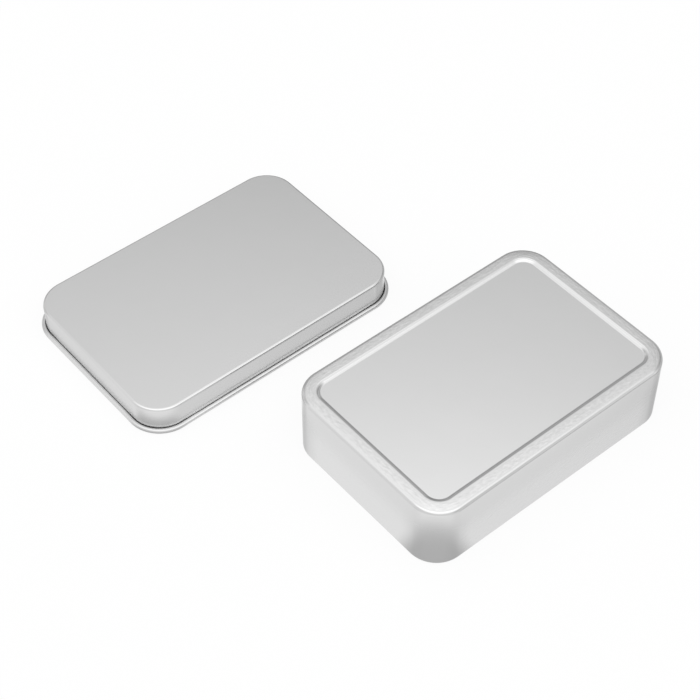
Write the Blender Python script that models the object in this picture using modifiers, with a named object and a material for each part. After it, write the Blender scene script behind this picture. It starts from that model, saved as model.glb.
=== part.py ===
"""Two-piece slip-lid tin for game pieces, lying open.

The base lies mouth down, so that its foot ring is on top, and the lid lies rim down behind it.
Both are drawn from one thickness of tinplate. The origin is the middle of the pair, on the
surface that both lie on, with +Z up and the long sides along X.
"""

import math

import bmesh
import bpy

MM = 0.001

# Sheet metal, shared by both pieces
SHEET = 0.23 * MM

# Base: outer faces of its straight walls, and its height from mouth to foot ring
BASE_LENGTH = 96.0 * MM
BASE_WIDTH = 64.8 * MM
BASE_HEIGHT = 23.8 * MM
BASE_CORNER_RADIUS = 9.7 * MM

# Foot ring, and the step from it down to the bottom panel
FOOT_EDGE_RADIUS = 1.35 * MM
FOOT_RING_WIDTH = 4.1 * MM
PANEL_RECESS = 0.65 * MM
PANEL_SHOULDER_RADIUS = 1.5 * MM
PANEL_FOOT_RADIUS = 0.5 * MM

# Safety curl, rolled inward at the base's mouth
MOUTH_CURL_RADIUS = 0.6 * MM

# Lid: it slips over the base, so its skirt takes its size from the base's walls
SLIP_CLEARANCE = 0.3 * MM
LID_HEIGHT = 9.8 * MM
LID_EDGE_RADIUS = 0.8 * MM

# Bead, rolled outward at the lid's rim
BEAD_RADIUS = 0.84 * MM

# Slit that each rolled edge leaves before it meets its own wall
CURL_SLIT = 0.15 * MM

# How the open lid lies: clear gap behind the base, and how far it is shifted to -X
LID_GAP = 23.8 * MM
LID_SHIFT = 31.7 * MM

# Facets: steps round each corner, in each quarter turn of the section, and in each half of the
# panel's step
CORNER_STEPS = 12
QUARTER_STEPS = 4
PANEL_STEP_STEPS = 3
SMOOTH_ANGLE = math.radians(40)
MERGE_DISTANCE = 0.01 * MM

COLLECTION_NAME = "metal_storage_box"
TINPLATE_COLOUR = (0.72, 0.72, 0.72, 1.0)
TINPLATE_ROUGHNESS = 0.32

QUARTER_TURN = math.pi / 2

# Sizes that follow from the ones above
LID_GROWTH = SLIP_CLEARANCE + SHEET
LID_LENGTH = BASE_LENGTH + 2 * LID_GROWTH
LID_WIDTH = BASE_WIDTH + 2 * LID_GROWTH
LID_CORNER_RADIUS = BASE_CORNER_RADIUS + LID_GROWTH
BEAD_INNER_RADIUS = BEAD_RADIUS - SHEET
BEAD_REACH = BEAD_RADIUS + BEAD_INNER_RADIUS


def clear_scene():
    """Remove the objects that the scene starts with."""
    for old in list(bpy.data.objects):
        bpy.data.objects.remove(old, do_unlink=True)


def new_collection(name):
    """Make a collection in the scene."""
    collection = bpy.data.collections.new(name)
    bpy.context.scene.collection.children.link(collection)
    return collection


def tinplate(name):
    """Bare satin tinplate."""
    material = bpy.data.materials.new(name)
    material.use_nodes = True
    shader = material.node_tree.nodes["Principled BSDF"]
    shader.inputs["Base Color"].default_value = TINPLATE_COLOUR
    shader.inputs["Metallic"].default_value = 1.0
    shader.inputs["Roughness"].default_value = TINPLATE_ROUGHNESS
    return material


def arc(centre, radius, angles):
    """Points of an arc as (inset, height); at angle 0 it faces outward, and at a quarter turn up."""
    centre_inset, centre_height = centre
    points = []
    for angle in angles:
        inset = centre_inset - radius * math.cos(angle)
        height = centre_height + radius * math.sin(angle)
        points.append((inset, height))
    return points


def rolled_edge(centre, radius, free_angle, wall_angle):
    """Section of a rolled edge, from its free end to its wall, with a point at each quarter turn."""
    turn = free_angle - wall_angle
    facet = math.copysign(QUARTER_TURN / QUARTER_STEPS, turn)
    count = round(turn / facet)
    angles = [free_angle]
    for step in reversed(range(count)):
        angles.append(wall_angle + facet * step)
    return arc(centre, radius, angles)


def rounded_edge(height, radius):
    """Section of the edge from a wall's outer face to the flat face on top."""
    angles = [QUARTER_TURN * step / QUARTER_STEPS for step in range(QUARTER_STEPS + 1)]
    return arc((radius, height - radius), radius, angles)


def panel_step():
    """Section of the step down to the bottom panel: a round shoulder, then a round foot."""
    radii = PANEL_SHOULDER_RADIUS + PANEL_FOOT_RADIUS
    steepest = math.acos(1 - PANEL_RECESS / radii)
    slopes = [steepest * step / PANEL_STEP_STEPS for step in range(PANEL_STEP_STEPS + 1)]
    shoulder_centre = (FOOT_RING_WIDTH, BASE_HEIGHT - PANEL_SHOULDER_RADIUS)
    points = arc(shoulder_centre, PANEL_SHOULDER_RADIUS, [slope + QUARTER_TURN for slope in slopes])
    panel_inset = FOOT_RING_WIDTH + radii * math.sin(steepest)
    foot_centre = (panel_inset, BASE_HEIGHT - PANEL_RECESS + PANEL_FOOT_RADIUS)
    points += arc(foot_centre, PANEL_FOOT_RADIUS, [slope - QUARTER_TURN for slope in slopes[-2::-1]])
    return points


def base_profile():
    """Outer line of the base's section, from the curl's free end to the bottom panel's edge."""
    free_angle = math.acos(1 - (SHEET + CURL_SLIT) / MOUTH_CURL_RADIUS) - math.tau
    curl_centre = (MOUTH_CURL_RADIUS, MOUTH_CURL_RADIUS)
    points = rolled_edge(curl_centre, MOUTH_CURL_RADIUS, free_angle, 0)
    points += rounded_edge(BASE_HEIGHT, FOOT_EDGE_RADIUS)
    points += panel_step()
    return points


def lid_profile():
    """Outer line of the lid's section, from the bead's free end to the edge of the flat top."""
    closing_angle = math.acos((BEAD_INNER_RADIUS - CURL_SLIT) / BEAD_RADIUS)
    free_angle = math.pi + math.tau - closing_angle
    bead_centre = (-BEAD_INNER_RADIUS, BEAD_RADIUS)
    points = rolled_edge(bead_centre, BEAD_INNER_RADIUS, free_angle, math.pi)
    points += rounded_edge(LID_HEIGHT, LID_EDGE_RADIUS)
    return points


def sweep_quarter(bm, profile, half_length, half_width, radius):
    """Sweep the section round one corner and along half of each wall that it joins."""
    corner_x = half_length - radius
    corner_y = half_width - radius
    section = [bm.verts.new((corner_x, half_width - inset, height)) for inset, height in profile]
    long_edges = [bm.edges.new(pair) for pair in zip(section, section[1:])]

    swept = bmesh.ops.spin(
        bm,
        geom=section + long_edges,
        cent=(corner_x, corner_y, 0),
        axis=(0, 0, -1),
        angle=QUARTER_TURN,
        steps=CORNER_STEPS,
    )
    short_edges = [item for item in swept["geom_last"] if isinstance(item, bmesh.types.BMEdge)]

    for edges, axis in ((long_edges, 0), (short_edges, 1)):
        wall = bmesh.ops.extrude_edge_only(bm, edges=edges)
        for item in wall["geom"]:
            if isinstance(item, bmesh.types.BMVert):
                item.co[axis] = 0


def fill_panel(bm, profile):
    """Close the quarter with its share of the flat panel, and face every surface outward."""
    panel_height = profile[-1][1]
    rim = set()
    for edge in bm.edges:
        level = all(abs(vert.co.z - panel_height) < MERGE_DISTANCE for vert in edge.verts)
        if edge.is_boundary and level:
            rim.update(edge.verts)
    ordered = sorted(rim, key=lambda vert: math.atan2(vert.co.y, vert.co.x))
    middle = bm.verts.new((0, 0, panel_height))
    panel = bm.faces.new([middle] + ordered)
    bmesh.ops.recalc_face_normals(bm, faces=bm.faces)
    if panel.normal.z < 0:
        bmesh.ops.reverse_faces(bm, faces=bm.faces)


def drawn_shell(name, profile, length, width, radius, collection):
    """Make one drawn piece of sheet: a quarter of its outer face, mirrored twice and thickened."""
    bm = bmesh.new()
    sweep_quarter(bm, profile, length / 2, width / 2, radius)
    fill_panel(bm, profile)
    mesh = bpy.data.meshes.new(name)
    bm.to_mesh(mesh)
    bm.free()
    mesh.shade_smooth()
    mesh.set_sharp_from_angle(angle=SMOOTH_ANGLE)
    mesh.materials.append(tinplate(name + "_tinplate"))

    shell = bpy.data.objects.new(name, mesh)
    collection.objects.link(shell)
    mirror = shell.modifiers.new("both_axes", "MIRROR")
    mirror.use_axis = (True, True, False)
    mirror.merge_threshold = MERGE_DISTANCE
    sheet = shell.modifiers.new("sheet", "SOLIDIFY")
    sheet.thickness = SHEET
    sheet.offset = -1
    return shell


def pair_middle(lid_offset):
    """Middle of the pair's outline, seen from the base's own centre."""
    base_sizes = (BASE_LENGTH, BASE_WIDTH)
    lid_sizes = (LID_LENGTH, LID_WIDTH)
    middle = []
    for offset, base_size, lid_size in zip(lid_offset, base_sizes, lid_sizes):
        lid_half = lid_size / 2 + BEAD_REACH
        low = min(-base_size / 2, offset - lid_half)
        high = max(base_size / 2, offset + lid_half)
        middle.append((low + high) / 2)
    return middle


def build():
    """Make the base and the lid, and lay them on the surface."""
    clear_scene()
    collection = new_collection(COLLECTION_NAME)

    lid_offset = (-LID_SHIFT, BASE_WIDTH / 2 + LID_GAP + BEAD_REACH + LID_WIDTH / 2)
    middle_x, middle_y = pair_middle(lid_offset)

    base = drawn_shell(
        "base", base_profile(), BASE_LENGTH, BASE_WIDTH, BASE_CORNER_RADIUS, collection)
    base.location = (-middle_x, -middle_y, 0)

    lid = drawn_shell(
        "lid", lid_profile(), LID_LENGTH, LID_WIDTH, LID_CORNER_RADIUS, collection)
    lid.location = (lid_offset[0] - middle_x, lid_offset[1] - middle_y, 0)


build()
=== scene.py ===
"""Looks of the two-piece slip-lid tin: its finish, the white studio and the camera."""

import math
from collections import namedtuple

import bmesh
import bpy
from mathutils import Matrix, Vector


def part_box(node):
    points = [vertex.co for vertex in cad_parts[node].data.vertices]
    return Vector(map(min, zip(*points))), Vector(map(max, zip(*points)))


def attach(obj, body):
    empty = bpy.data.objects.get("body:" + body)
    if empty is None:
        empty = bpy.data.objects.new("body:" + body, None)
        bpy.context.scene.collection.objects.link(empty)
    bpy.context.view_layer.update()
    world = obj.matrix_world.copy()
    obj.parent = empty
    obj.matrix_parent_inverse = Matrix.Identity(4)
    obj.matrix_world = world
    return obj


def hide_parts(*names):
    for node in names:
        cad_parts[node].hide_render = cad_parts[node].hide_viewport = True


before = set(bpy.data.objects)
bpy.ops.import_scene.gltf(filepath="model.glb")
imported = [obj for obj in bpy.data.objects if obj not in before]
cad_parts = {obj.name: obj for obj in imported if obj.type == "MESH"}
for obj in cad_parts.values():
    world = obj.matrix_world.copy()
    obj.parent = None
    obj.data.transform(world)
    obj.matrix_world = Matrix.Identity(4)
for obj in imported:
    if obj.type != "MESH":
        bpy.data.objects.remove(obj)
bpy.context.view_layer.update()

MM = 0.001
QUARTER_TURN = math.pi / 2
WHITE = (1.0, 1.0, 1.0, 1.0)

# Sheet, edges and corners, as in the solids
SHEET = 0.23 * MM
CORNER_RADIUS = 9.7 * MM
MOUTH_CURL_RADIUS = 0.6 * MM
SLIP_CLEARANCE = 0.3 * MM
BEAD_RADIUS = 0.84 * MM
LID_EDGE_RADIUS = 0.8 * MM

# Foot ring, its edge and the step down to the panel, as in the solids
FOOT_EDGE_RADIUS = 1.35 * MM
FOOT_RING_WIDTH = 4.1 * MM
PANEL_RECESS = 0.65 * MM
PANEL_SHOULDER_RADIUS = 1.5 * MM
PANEL_FOOT_RADIUS = 0.5 * MM

# How far the ring falls towards its edge, along the walls and at the middle of each corner
FOOT_RING_FALL = 0.04 * MM
CORNER_RING_FALL = 0.13 * MM

# Slit between each rolled edge and its own wall, finer than in the solids, and the slit that the lid's
# bead opens to at the middle of each corner
CURL_SLIT = 0.05 * MM
CORNER_SLIT = 0.3 * MM

# How far along the walls the fall, the slit and the painted shade and roughness of a corner reach
CORNER_REACH = 5.0 * MM

# Fineness of the meshes
CORNER_STEPS = 40
QUARTER_STEPS = 12
CURL_STEPS = 44
PANEL_STEP_STEPS = 10
RING_STEPS = 6

# Camera of the photograph. Its lens and sensor are in millimetres.
CAMERA_PLACE = Vector((-227.3, -275.4, 405.0)) * MM
CAMERA_TURN = (math.radians(41.82), math.radians(-0.08), math.radians(-39.96))
CAMERA_LENS = 88.34
CAMERA_SENSOR = 36.0

# Studio: white all round, with soft light and dark patches in what the metal shows of it. Angles are
# in degrees. Azimuth is to the right of the camera's heading, and a patch is even to its middle and
# gone after its fade.
WHITE_STRENGTH = 1.0
Patch = namedtuple("Patch", "azimuth elevation middle fade change")
PATCHES = (
    Patch(azimuth=160, elevation=81, middle=29, fade=36, change=0.53),    # overhead
    Patch(azimuth=6, elevation=60, middle=5, fade=7, change=0.2),         # fore light
    Patch(azimuth=7, elevation=12, middle=70, fade=27, change=-0.39),     # far side
    Patch(azimuth=50, elevation=39, middle=12, fade=18, change=-0.22),    # far right, high
    Patch(azimuth=8, elevation=44, middle=3, fade=7, change=-0.05),       # far, high
    Patch(azimuth=-25, elevation=-2, middle=13, fade=41, change=0.3),     # far left
    Patch(azimuth=-12, elevation=6, middle=23, fade=18, change=-0.41),    # far horizon
    Patch(azimuth=2, elevation=-52, middle=15, fade=15, change=0.3),      # far, low
    Patch(azimuth=123, elevation=5, middle=11, fade=12, change=-0.24),    # right
    Patch(azimuth=104, elevation=-36, middle=5, fade=8, change=-0.5),     # right, low
    Patch(azimuth=82, elevation=-36, middle=5, fade=9, change=-0.4),      # far right, low
    Patch(azimuth=100, elevation=-50, middle=8, fade=16, change=-0.035),  # right, below
    Patch(azimuth=188, elevation=-50, middle=20, fade=30, change=0.16),   # behind the camera, below
    Patch(azimuth=190, elevation=-14, middle=50, fade=46, change=-0.16),  # behind the camera
)

# Shade on the floor before each near corner, which only the metal shows. Its middle lies inward from
# the near corner of the piece's box, and it ends at its reach and half width from there. It is full
# up to a share of that.
FrontShade = namedtuple("FrontShade", "inward reach half_width")
BASE_SHADE = FrontShade(inward=1.4 * MM, reach=14.8 * MM, half_width=18.0 * MM)
LID_SHADE = FrontShade(inward=4.4 * MM, reach=6.5 * MM, half_width=12.5 * MM)
SHADE_FULL_SHARE = 0.5
SHADE_COLOUR = (0.64, 0.64, 0.64, 1.0)

# Side of a plane that reaches 1 from its middle, before it is scaled
UNIT_PLANE = 2.0

# Tinplate, as it is on the flat tops
TINPLATE_COLOUR = (0.728, 0.728, 0.728, 1.0)
TINPLATE_ROUGHNESS = 0.19

# Painted shade: corners darken over a range of depths, and over a range of the corner's number at
# each vertex, and get a little rougher there. Over the same depths the walls get rougher all round.
PAINTED_CORNER_SHADE = (0.66, 0.66, 0.66, 1.0)
SHADED_CORNER_RANGE = (0.0, 0.75)
SHADE_AND_ROUGHNESS_DEPTHS = (0.5 * MM, 11.0 * MM)
SHADED_CORNER_ROUGHNESS = 0.03
DEEP_ROUGHNESS = 0.08

# Painted light: straight walls get lighter over a range of depths, by this share of what shaded corners
# lose
PAINTED_WALL_LIGHT_DEPTHS = (3.0 * MM, 16.0 * MM)
PAINTED_WALL_LIGHT_SHARE = 1.0

# Scuffs and painted highlights on the foot ring: the insets where they set in and fade out, and what they
# add
SCUFFS_AND_HIGHLIGHTS_FROM = (0.9 * MM, 1.4 * MM)
SCUFFS_AND_HIGHLIGHTS_TO = (3.2 * MM, 4.3 * MM)
SCUFF_ROUGHNESS = 0.06
# Painted highlight: how far the ring's colour is lightened towards white, and how much more in streaks
PAINTED_RING_HIGHLIGHT = 0.07
RING_HIGHLIGHT_STREAKS = 0.7

# Marks in the metal: the length of their grains along the axes, and their height
Marks = namedtuple("Marks", "lengths height")
ROLLING = Marks(lengths=(5.0 * MM, 0.12 * MM, 0.12 * MM), height=0.0003 * MM)
WAVES = Marks(lengths=(18.0 * MM, 18.0 * MM, 18.0 * MM), height=0.02 * MM)
DRAWING = Marks(lengths=(0.9 * MM, 0.9 * MM, 7.0 * MM), height=0.003 * MM)
SCUFFS = Marks(lengths=(0.7 * MM, 1.8 * MM, 1.8 * MM), height=0.035 * MM)
ROLLING_ROUGHNESS = 0.06
NOISE_MIDDLE = 0.5

# Clouds in the colour: the length of their grains along the axes, and how far they dull or lighten it
CLOUDS = (6.0 * MM, 6.0 * MM, 12.0 * MM)
CLOUD_COLOUR = 0.12

# Floor: plain white, with this share of it shaded by what stands on it
FLOOR_SIZE = 6000.0 * MM
FLOOR_COLOUR = (0.95, 0.95, 0.95, 1.0)
FLOOR_SHADED_SHARE = 0.12


def arc(centre, radius, angles):
    """Points of an arc as (inset, height); at angle 0 it faces outward, and at a quarter turn up."""
    centre_inset, centre_height = centre
    points = []
    for angle in angles:
        inset = centre_inset - radius * math.cos(angle)
        height = centre_height + radius * math.sin(angle)
        points.append((inset, height))
    return points


def rolled_edge(centre, radius, free_angle, wall_angle):
    """Section of a rolled edge, from its free end to its wall."""
    turn = wall_angle - free_angle
    angles = [free_angle + turn * step / CURL_STEPS for step in range(CURL_STEPS + 1)]
    return arc(centre, radius, angles)


def rounded_edge(height, radius):
    """Section of the edge from a wall's outer face to the face on top."""
    angles = [QUARTER_TURN * step / QUARTER_STEPS for step in range(QUARTER_STEPS + 1)]
    return arc((radius, height - radius), radius, angles)


def panel_step(height):
    """Section of the step down to the bottom panel: a round shoulder, then a round foot."""
    radii = PANEL_SHOULDER_RADIUS + PANEL_FOOT_RADIUS
    steepest = math.acos(1 - PANEL_RECESS / radii)
    slopes = [steepest * step / PANEL_STEP_STEPS for step in range(PANEL_STEP_STEPS + 1)]
    shoulder_centre = (FOOT_RING_WIDTH, height - PANEL_SHOULDER_RADIUS)
    points = arc(shoulder_centre, PANEL_SHOULDER_RADIUS, [slope + QUARTER_TURN for slope in slopes])
    panel_inset = FOOT_RING_WIDTH + radii * math.sin(steepest)
    foot_centre = (panel_inset, height - PANEL_RECESS + PANEL_FOOT_RADIUS)
    points += arc(foot_centre, PANEL_FOOT_RADIUS, [slope - QUARTER_TURN for slope in slopes[-2::-1]])
    return points


def base_section(height, fall):
    """Outer line of the base's section, from the curl's free end to the bottom panel's edge."""
    free_angle = math.acos(1 - (SHEET + CURL_SLIT) / MOUTH_CURL_RADIUS) - math.tau
    curl_centre = (MOUTH_CURL_RADIUS, MOUTH_CURL_RADIUS)
    points = rolled_edge(curl_centre, MOUTH_CURL_RADIUS, free_angle, 0)
    points += rounded_edge(height - fall, FOOT_EDGE_RADIUS)
    for step in range(1, RING_STEPS):
        share = step / RING_STEPS
        inset = FOOT_EDGE_RADIUS + (FOOT_RING_WIDTH - FOOT_EDGE_RADIUS) * share
        points.append((inset, height - fall * (1 - share) ** 2))
    points += panel_step(height)
    return points


def lid_section(height, slit):
    """Outer line of the lid's section, from the bead's free end to the edge of the flat top."""
    inner_radius = BEAD_RADIUS - SHEET
    closing_angle = math.acos((inner_radius - slit) / BEAD_RADIUS)
    free_angle = math.pi + math.tau - closing_angle
    points = rolled_edge((-inner_radius, BEAD_RADIUS), inner_radius, free_angle, math.pi)
    points += rounded_edge(height, LID_EDGE_RADIUS)
    return points


def rounded_outline(length, width, radius, inset):
    """Points round a rectangle with round corners, drawn in by inset, as (x, y, corner).

    Corner is 1 at a corner's middle, and falls to 0 a little way along the walls that it joins.
    """
    points = []
    arc_radius = radius - inset
    half_arc = QUARTER_TURN * radius / 2
    for corner, (side_x, side_y) in enumerate(((1, 1), (-1, 1), (-1, -1), (1, -1))):
        middle = Vector((side_x * (length / 2 - radius), side_y * (width / 2 - radius)))
        for step in range(CORNER_STEPS + 1):
            share = step / CORNER_STEPS
            angle = QUARTER_TURN * (corner + share)
            outward = Vector((math.cos(angle), math.sin(angle)))
            onward = Vector((-outward.y, outward.x))
            point = middle + outward * arc_radius
            if step == 0:
                points.append((*(point - onward * CORNER_REACH), 0.0))
            from_middle = abs(2 * share - 1) * half_arc
            points.append((*point, 1 - from_middle / (half_arc + CORNER_REACH)))
            if step == CORNER_STEPS:
                points.append((*(point + onward * CORNER_REACH), 0.0))
    return points


def sweep_section(bm, sections, length, width, radius):
    """Rings of vertices round the outline, one for each point of the section.

    The first section holds along the walls, and turns into the second towards each corner's middle.
    Each vertex keeps its inset, its corner number and its depth below the top.
    """
    facts = {fact: bm.verts.layers.float.new(fact) for fact in ("inset", "corner", "depth")}
    wall_section, corner_section = sections
    top = max(height for inset, height in wall_section)
    rings = []
    for (inset, height), (corner_inset, corner_height) in zip(wall_section, corner_section):
        outline = rounded_outline(length, width, radius, inset)
        corner_outline = rounded_outline(length, width, radius, corner_inset)
        ring = []
        for (x, y, corner), (corner_x, corner_y, _) in zip(outline, corner_outline):
            place = Vector((x, y, height)).lerp(Vector((corner_x, corner_y, corner_height)), corner)
            vert = bm.verts.new(place)
            vert[facts["inset"]] = inset
            vert[facts["corner"]] = corner
            vert[facts["depth"]] = top - height
            ring.append(vert)
        rings.append(ring)
    return rings


def drawn_mesh(name, sections, length, width, radius):
    """Outer face of a drawn piece: its swept section, closed with the flat panel."""
    bm = bmesh.new()
    rings = sweep_section(bm, sections, length, width, radius)
    count = len(rings[0])
    for lower, upper in zip(rings, rings[1:]):
        for here in range(count):
            after = (here + 1) % count
            bm.faces.new((lower[here], lower[after], upper[after], upper[here]))
    bm.faces.new(rings[-1])
    mesh = bpy.data.meshes.new(name)
    bm.to_mesh(mesh)
    bm.free()
    mesh.shade_smooth()
    return mesh


def drawn_shell(name, sections, length, width, radius, centre):
    """A drawn piece with the thickness of its sheet, in its place."""
    mesh = drawn_mesh(name, sections, length, width, radius)
    shell = bpy.data.objects.new(name, mesh)
    bpy.context.scene.collection.objects.link(shell)
    shell.location = centre
    sheet = shell.modifiers.new("sheet", "SOLIDIFY")
    sheet.thickness = SHEET
    sheet.offset = -1
    facing = shell.modifiers.new("facing", "WEIGHTED_NORMAL")
    facing.keep_sharp = True
    return shell


def fill_socket(tree, socket, value):
    """Set a socket to a fixed value, or link it to a node's output."""
    if isinstance(value, bpy.types.NodeSocket):
        tree.links.new(value, socket)
    else:
        socket.default_value = value


def calculate(tree, operation, *values):
    """One step of arithmetic between numbers and node outputs."""
    step = tree.nodes.new("ShaderNodeMath")
    step.operation = operation
    for socket, value in zip(step.inputs, values):
        fill_socket(tree, socket, value)
    return step.outputs["Value"]


def mix_colours(tree, factor, first, second):
    """The first colour at factor 0 and the second at 1, and past them outside that range."""
    mix = tree.nodes.new("ShaderNodeMix")
    mix.data_type = "RGBA"
    mix.clamp_factor = False
    for name, value in (("Factor", factor), ("A", first), ("B", second)):
        fill_socket(tree, mix.inputs[name], value)
    return mix.outputs["Result"]


def smooth_step(tree, value, start, end):
    """0 up to start, 1 from end on, and smooth between."""
    step = tree.nodes.new("ShaderNodeMapRange")
    step.interpolation_type = "SMOOTHSTEP"
    step.inputs["From Min"].default_value = start
    step.inputs["From Max"].default_value = end
    tree.links.new(value, step.inputs["Value"])
    return step.outputs["Result"]


def vertex_fact(tree, name):
    """A number that the mesh holds at each vertex."""
    fact = tree.nodes.new("ShaderNodeAttribute")
    fact.attribute_name = name
    return fact.outputs["Fac"]


def grains(tree, place, lengths):
    """Noise about zero, with grains of these lengths along the axes."""
    counted = tree.nodes.new("ShaderNodeVectorMath")
    counted.operation = "DIVIDE"
    counted.inputs[1].default_value = lengths
    tree.links.new(place, counted.inputs[0])
    noise = tree.nodes.new("ShaderNodeTexNoise")
    noise.inputs["Scale"].default_value = 1.0
    tree.links.new(counted.outputs["Vector"], noise.inputs["Vector"])
    return calculate(tree, "SUBTRACT", noise.outputs["Fac"], NOISE_MIDDLE)


def place_on_ring(tree, place, inset):
    """Place on the foot ring as its inset, then its place along both axes."""
    split = tree.nodes.new("ShaderNodeSeparateXYZ")
    tree.links.new(place, split.inputs["Vector"])
    along = tree.nodes.new("ShaderNodeCombineXYZ")
    tree.links.new(inset, along.inputs["X"])
    tree.links.new(split.outputs["X"], along.inputs["Y"])
    tree.links.new(split.outputs["Y"], along.inputs["Z"])
    return along.outputs["Vector"]


def add_relief(tree, shader, place, rolling, scuff_and_highlight_grains, scuffed_and_highlit):
    """Relief of the marks in the metal, in metres, with scuff relief only within the foot ring's scuff
    zone.
    """
    relief = calculate(tree, "MULTIPLY", rolling, ROLLING.height)
    for marks in (WAVES, DRAWING):
        relief = calculate(tree, "MULTIPLY_ADD", grains(tree, place, marks.lengths), marks.height, relief)
    scuff_height = calculate(tree, "MULTIPLY", scuffed_and_highlit, SCUFFS.height)
    relief = calculate(tree, "MULTIPLY_ADD", scuff_and_highlight_grains, scuff_height, relief)
    bump = tree.nodes.new("ShaderNodeBump")
    bump.inputs["Distance"].default_value = 1.0
    tree.links.new(relief, bump.inputs["Height"])
    tree.links.new(bump.outputs["Normal"], shader.inputs["Normal"])


def tinplate():
    """Bare satin tinplate: painted corner shade, painted wall light, and scuff relief with painted
    highlights on the foot ring.
    """
    material = bpy.data.materials.new("tinplate")
    material.use_nodes = True
    tree = material.node_tree
    shader = tree.nodes["Principled BSDF"]
    shader.inputs["Metallic"].default_value = 1.0
    place = tree.nodes.new("ShaderNodeTexCoord").outputs["Object"]
    inset = vertex_fact(tree, "inset")
    depth = vertex_fact(tree, "depth")

    unscuffed = smooth_step(tree, inset, *SCUFFS_AND_HIGHLIGHTS_TO)
    scuffed_and_highlit = calculate(tree, "SUBTRACT", smooth_step(tree, inset, *SCUFFS_AND_HIGHLIGHTS_FROM), unscuffed)
    scuff_and_highlight_grains = grains(tree, place_on_ring(tree, place, inset), SCUFFS.lengths)
    rolling = grains(tree, place, ROLLING.lengths)
    add_relief(tree, shader, place, rolling, scuff_and_highlight_grains, scuffed_and_highlit)

    # Painted shade: the metal darkens towards the mouth of each corner, and gets a little rougher there
    in_corner = smooth_step(tree, vertex_fact(tree, "corner"), *SHADED_CORNER_RANGE)
    deep = smooth_step(tree, depth, *SHADE_AND_ROUGHNESS_DEPTHS)
    corner_shade_mask = calculate(tree, "MULTIPLY", in_corner, deep)
    # Painted light: the straight walls get lighter towards the mouth
    straight = calculate(tree, "SUBTRACT", 1.0, in_corner)
    painted_wall_light = calculate(tree, "MULTIPLY", straight, smooth_step(tree, depth, *PAINTED_WALL_LIGHT_DEPTHS))
    shading_and_clouds = calculate(tree, "MULTIPLY_ADD", grains(tree, place, CLOUDS), CLOUD_COLOUR, corner_shade_mask)
    shading_and_clouds = calculate(tree, "MULTIPLY_ADD", painted_wall_light, -PAINTED_WALL_LIGHT_SHARE, shading_and_clouds)
    # Colour between plain tinplate and the painted corner shade, and lighter than plain where wall light
    # is painted
    colour = mix_colours(tree, shading_and_clouds, TINPLATE_COLOUR, PAINTED_CORNER_SHADE)
    # Painted highlight: the foot ring's colour lightened towards white, in streaks
    highlight_streaks = calculate(tree, "MULTIPLY_ADD", scuff_and_highlight_grains, RING_HIGHLIGHT_STREAKS, PAINTED_RING_HIGHLIGHT)
    colour = mix_colours(tree, calculate(tree, "MULTIPLY", scuffed_and_highlit, highlight_streaks), colour, WHITE)
    tree.links.new(colour, shader.inputs["Base Color"])

    roughness = calculate(tree, "MULTIPLY_ADD", rolling, ROLLING_ROUGHNESS, TINPLATE_ROUGHNESS)
    for zone, gain in ((deep, DEEP_ROUGHNESS), (corner_shade_mask, SHADED_CORNER_ROUGHNESS), (scuffed_and_highlit, SCUFF_ROUGHNESS)):
        roughness = calculate(tree, "MULTIPLY_ADD", zone, gain, roughness)
    tree.links.new(roughness, shader.inputs["Roughness"])
    return material


def box_middle(node):
    """Middle of a node's outline at the floor, and its size."""
    low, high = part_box(node)
    return Vector(((low.x + high.x) / 2, (low.y + high.y) / 2, 0)), high - low


def make_tin():
    """The base and the lid, as fine meshes in place of their solids."""
    centre, size = box_middle("base")
    sections = [base_section(size.z, fall) for fall in (FOOT_RING_FALL, CORNER_RING_FALL)]
    base = drawn_shell("base_shell", sections, size.x, size.y, CORNER_RADIUS, centre)

    centre, size = box_middle("lid")
    sections = [lid_section(size.z, slit) for slit in (CURL_SLIT, CORNER_SLIT)]
    bead_reach = 2 * BEAD_RADIUS - SHEET
    skirt_length = size.x - 2 * bead_reach
    skirt_width = size.y - 2 * bead_reach
    skirt_radius = CORNER_RADIUS + SLIP_CLEARANCE + SHEET
    lid = drawn_shell("lid_shell", sections, skirt_length, skirt_width, skirt_radius, centre)

    finish = tinplate()
    for shell, node in ((base, "base"), (lid, "lid")):
        shell.data.materials.append(finish)
        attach(shell, node)
        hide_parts(node)


def empty_material(name):
    """A material with no nodes but its output, and the socket for its surface."""
    material = bpy.data.materials.new(name)
    material.use_nodes = True
    nodes = material.node_tree.nodes
    nodes.clear()
    output = nodes.new("ShaderNodeOutputMaterial")
    return material, output.inputs["Surface"]


def shade_material(name):
    """Dark glass that turns clear towards the plane's rim."""
    material, surface = empty_material(name)
    tree = material.node_tree
    from_middle = tree.nodes.new("ShaderNodeVectorMath")
    from_middle.operation = "LENGTH"
    place = tree.nodes.new("ShaderNodeTexCoord").outputs["Object"]
    tree.links.new(place, from_middle.inputs[0])
    clear = smooth_step(tree, from_middle.outputs["Value"], SHADE_FULL_SHARE, 1.0)
    glass = tree.nodes.new("ShaderNodeBsdfTransparent")
    tree.links.new(mix_colours(tree, clear, SHADE_COLOUR, WHITE), glass.inputs["Color"])
    tree.links.new(glass.outputs["BSDF"], surface)
    return material


def make_front_shade(node, shade):
    """Soft shade on the floor before a piece's near corner."""
    low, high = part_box(node)
    bpy.ops.mesh.primitive_plane_add(size=UNIT_PLANE)
    plane = bpy.context.object
    plane.name = node + "_front_shade"
    plane.location = (low.x + shade.inward, low.y + shade.inward, 0)
    plane.rotation_euler = (0, 0, QUARTER_TURN / 2)
    plane.scale = (shade.reach, shade.half_width, 1)
    for seen_by in ("camera", "diffuse", "transmission", "volume_scatter", "shadow"):
        setattr(plane, "visible_" + seen_by, False)
    plane.data.materials.append(shade_material(plane.name))


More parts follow.
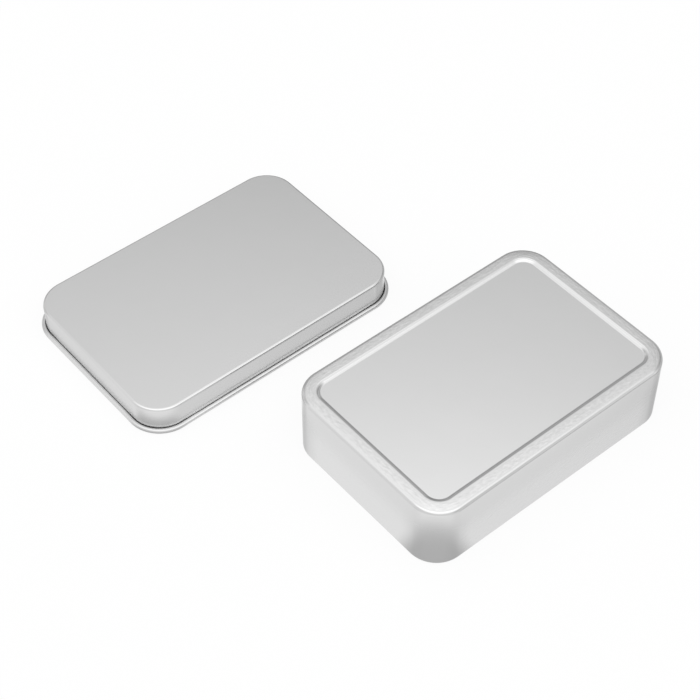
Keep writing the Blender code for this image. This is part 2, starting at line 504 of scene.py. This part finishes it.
def floor_material():
    """White that the camera sees mostly plain, with its shaded share."""
    material, surface = empty_material("white_floor")
    tree = material.node_tree
    shaded = tree.nodes.new("ShaderNodeBsdfDiffuse")
    shaded.inputs["Color"].default_value = FLOOR_COLOUR
    plain = tree.nodes.new("ShaderNodeEmission")
    seen_by_camera = tree.nodes.new("ShaderNodeLightPath").outputs["Is Camera Ray"]
    plain_share = calculate(tree, "MULTIPLY", seen_by_camera, 1 - FLOOR_SHADED_SHARE)
    mix = tree.nodes.new("ShaderNodeMixShader")
    tree.links.new(plain_share, mix.inputs["Fac"])
    tree.links.new(shaded.outputs["BSDF"], mix.inputs[1])
    tree.links.new(plain.outputs["Emission"], mix.inputs[2])
    tree.links.new(mix.outputs["Shader"], surface)
    return material


def make_floor():
    """Plain white floor. In its place the metal shows the lower half of the white studio."""
    bpy.ops.mesh.primitive_plane_add(size=FLOOR_SIZE)
    floor = bpy.context.object
    floor.name = "floor"
    floor.visible_glossy = False
    floor.data.materials.append(floor_material())


def make_camera():
    """The photograph's viewpoint."""
    data = bpy.data.cameras.new("photo_camera")
    data.lens = CAMERA_LENS
    data.sensor_width = CAMERA_SENSOR
    camera = bpy.data.objects.new("photo_camera", data)
    bpy.context.scene.collection.objects.link(camera)
    camera.location = CAMERA_PLACE
    camera.rotation_euler = CAMERA_TURN
    bpy.context.scene.camera = camera


def patch_direction(patch):
    """Direction of a patch's middle in the scene, from its azimuth against the camera's heading."""
    azimuth = math.radians(patch.azimuth) - CAMERA_TURN[2]
    elevation = math.radians(patch.elevation)
    level = math.cos(elevation)
    return Vector((level * math.sin(azimuth), level * math.cos(azimuth), math.sin(elevation)))


def make_light():
    """White all round. Every ray but the camera's own sees the soft patches in it too."""
    world = bpy.data.worlds.new("studio")
    bpy.context.scene.world = world
    world.use_nodes = True
    tree = world.node_tree
    direction = tree.nodes.new("ShaderNodeTexCoord").outputs["Generated"]
    change = 0.0
    for patch in PATCHES:
        facing = tree.nodes.new("ShaderNodeVectorMath")
        facing.operation = "DOT_PRODUCT"
        facing.inputs[1].default_value = patch_direction(patch)
        tree.links.new(direction, facing.inputs[0])
        edge = math.cos(math.radians(patch.middle + patch.fade))
        full = math.cos(math.radians(patch.middle))
        share = smooth_step(tree, facing.outputs["Value"], edge, full)
        change = calculate(tree, "MULTIPLY_ADD", share, patch.change, change)
    seen_by_camera = tree.nodes.new("ShaderNodeLightPath").outputs["Is Camera Ray"]
    shown = calculate(tree, "SUBTRACT", 1.0, seen_by_camera)
    strength = calculate(tree, "MULTIPLY_ADD", change, shown, WHITE_STRENGTH)
    background = tree.nodes["Background"]
    background.inputs["Color"].default_value = WHITE
    tree.links.new(strength, background.inputs["Strength"])


make_tin()
make_front_shade("base", BASE_SHADE)
make_front_shade("lid", LID_SHADE)
make_floor()
make_camera()
make_light()
bpy.context.scene.view_settings.view_transform = "Standard"
